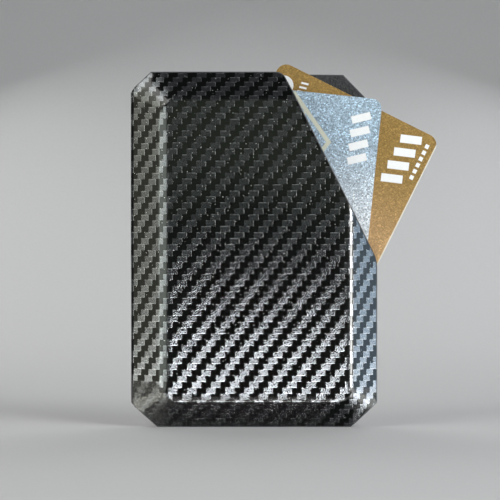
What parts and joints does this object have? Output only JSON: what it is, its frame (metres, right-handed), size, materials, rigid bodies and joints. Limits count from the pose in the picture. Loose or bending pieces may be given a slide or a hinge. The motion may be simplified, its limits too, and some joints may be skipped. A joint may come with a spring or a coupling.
{
  "type": "money clip",
  "caption": "Folded carbon-look plastic money clip with a raised card pocket, a diagonal thumb cut, a sprung steel note clip behind and fanned payment cards inside.",
  "frame": {"origin": "middle of the back leaf's bottom edge, on the surface the clip stands on", "axes": "+X from the fold to the open edge, +Z to the card mouth, +Y out of the back where the note clip is, so the raised card pocket faces -Y"},
  "size_m": [0.0932, 0.0151, 0.1104],
  "materials": {
    "carbon_sheet": "glossy black thermoformed sheet with a pressed twill weave",
    "spring_steel": "satin, brushed along its length",
    "fastener_steel": "turned and lightly polished",
    "gold_card_plastic": "metallic grain under a satin overlay",
    "silver_card_plastic": "metallic grain under a satin overlay",
    "contact_plate": "gold-plated contacts",
    "magnetic_tape": "smooth dark tape"
  },
  "bodies": {
    "back_half": {"back_leaf": "carbon_sheet", "spine_fold": "carbon_sheet", "clip_foot": "spring_steel", "upper_clip_screw": "fastener_steel", "upper_screw_post": "fastener_steel", "lower_clip_screw": "fastener_steel", "lower_screw_post": "fastener_steel"},
    "front_half": {"front_leaf": "carbon_sheet"},
    "note_clip": {"clip_arm": "spring_steel"},
    "gold_card": {"gold_card": "gold_card_plastic", "gold_card_chip": "contact_plate", "gold_card_magnetic_stripe": "magnetic_tape"},
    "silver_card": {"silver_card": "silver_card_plastic", "silver_card_chip": "contact_plate", "silver_card_magnetic_stripe": "magnetic_tape"}
  },
  "joints": [
    {"name": "leaf_open", "type": "hinge", "parent": "back_half", "child": "front_half", "pos_m": [-0.03647, -0.0037, 0.054], "axis": [0, 0, -1], "range_deg": [0, 8], "stiffness_Nm_per_rad": 2.5, "springref_deg": -1.15},
    {"name": "clip_flex", "type": "hinge", "parent": "back_half", "child": "note_clip", "pos_m": [-0.0195, 0.00155, 0.056], "axis": [0, 0, 1], "range_deg": [0, 8], "stiffness_Nm_per_rad": 1.5, "springref_deg": -1.72},
    {"name": "gold_card_fan", "type": "hinge", "parent": "back_half", "child": "gold_card", "pos_m": [0.0229, -0.00119, 0.0312], "axis": [0, 1, 0], "range_deg": [-26.5, 23]},
    {"name": "silver_card_slide", "type": "slide", "parent": "back_half", "child": "silver_card", "axis": [0.1028, 0, 0.9947], "range_m": [-0.004, 0.075]}
  ]
}
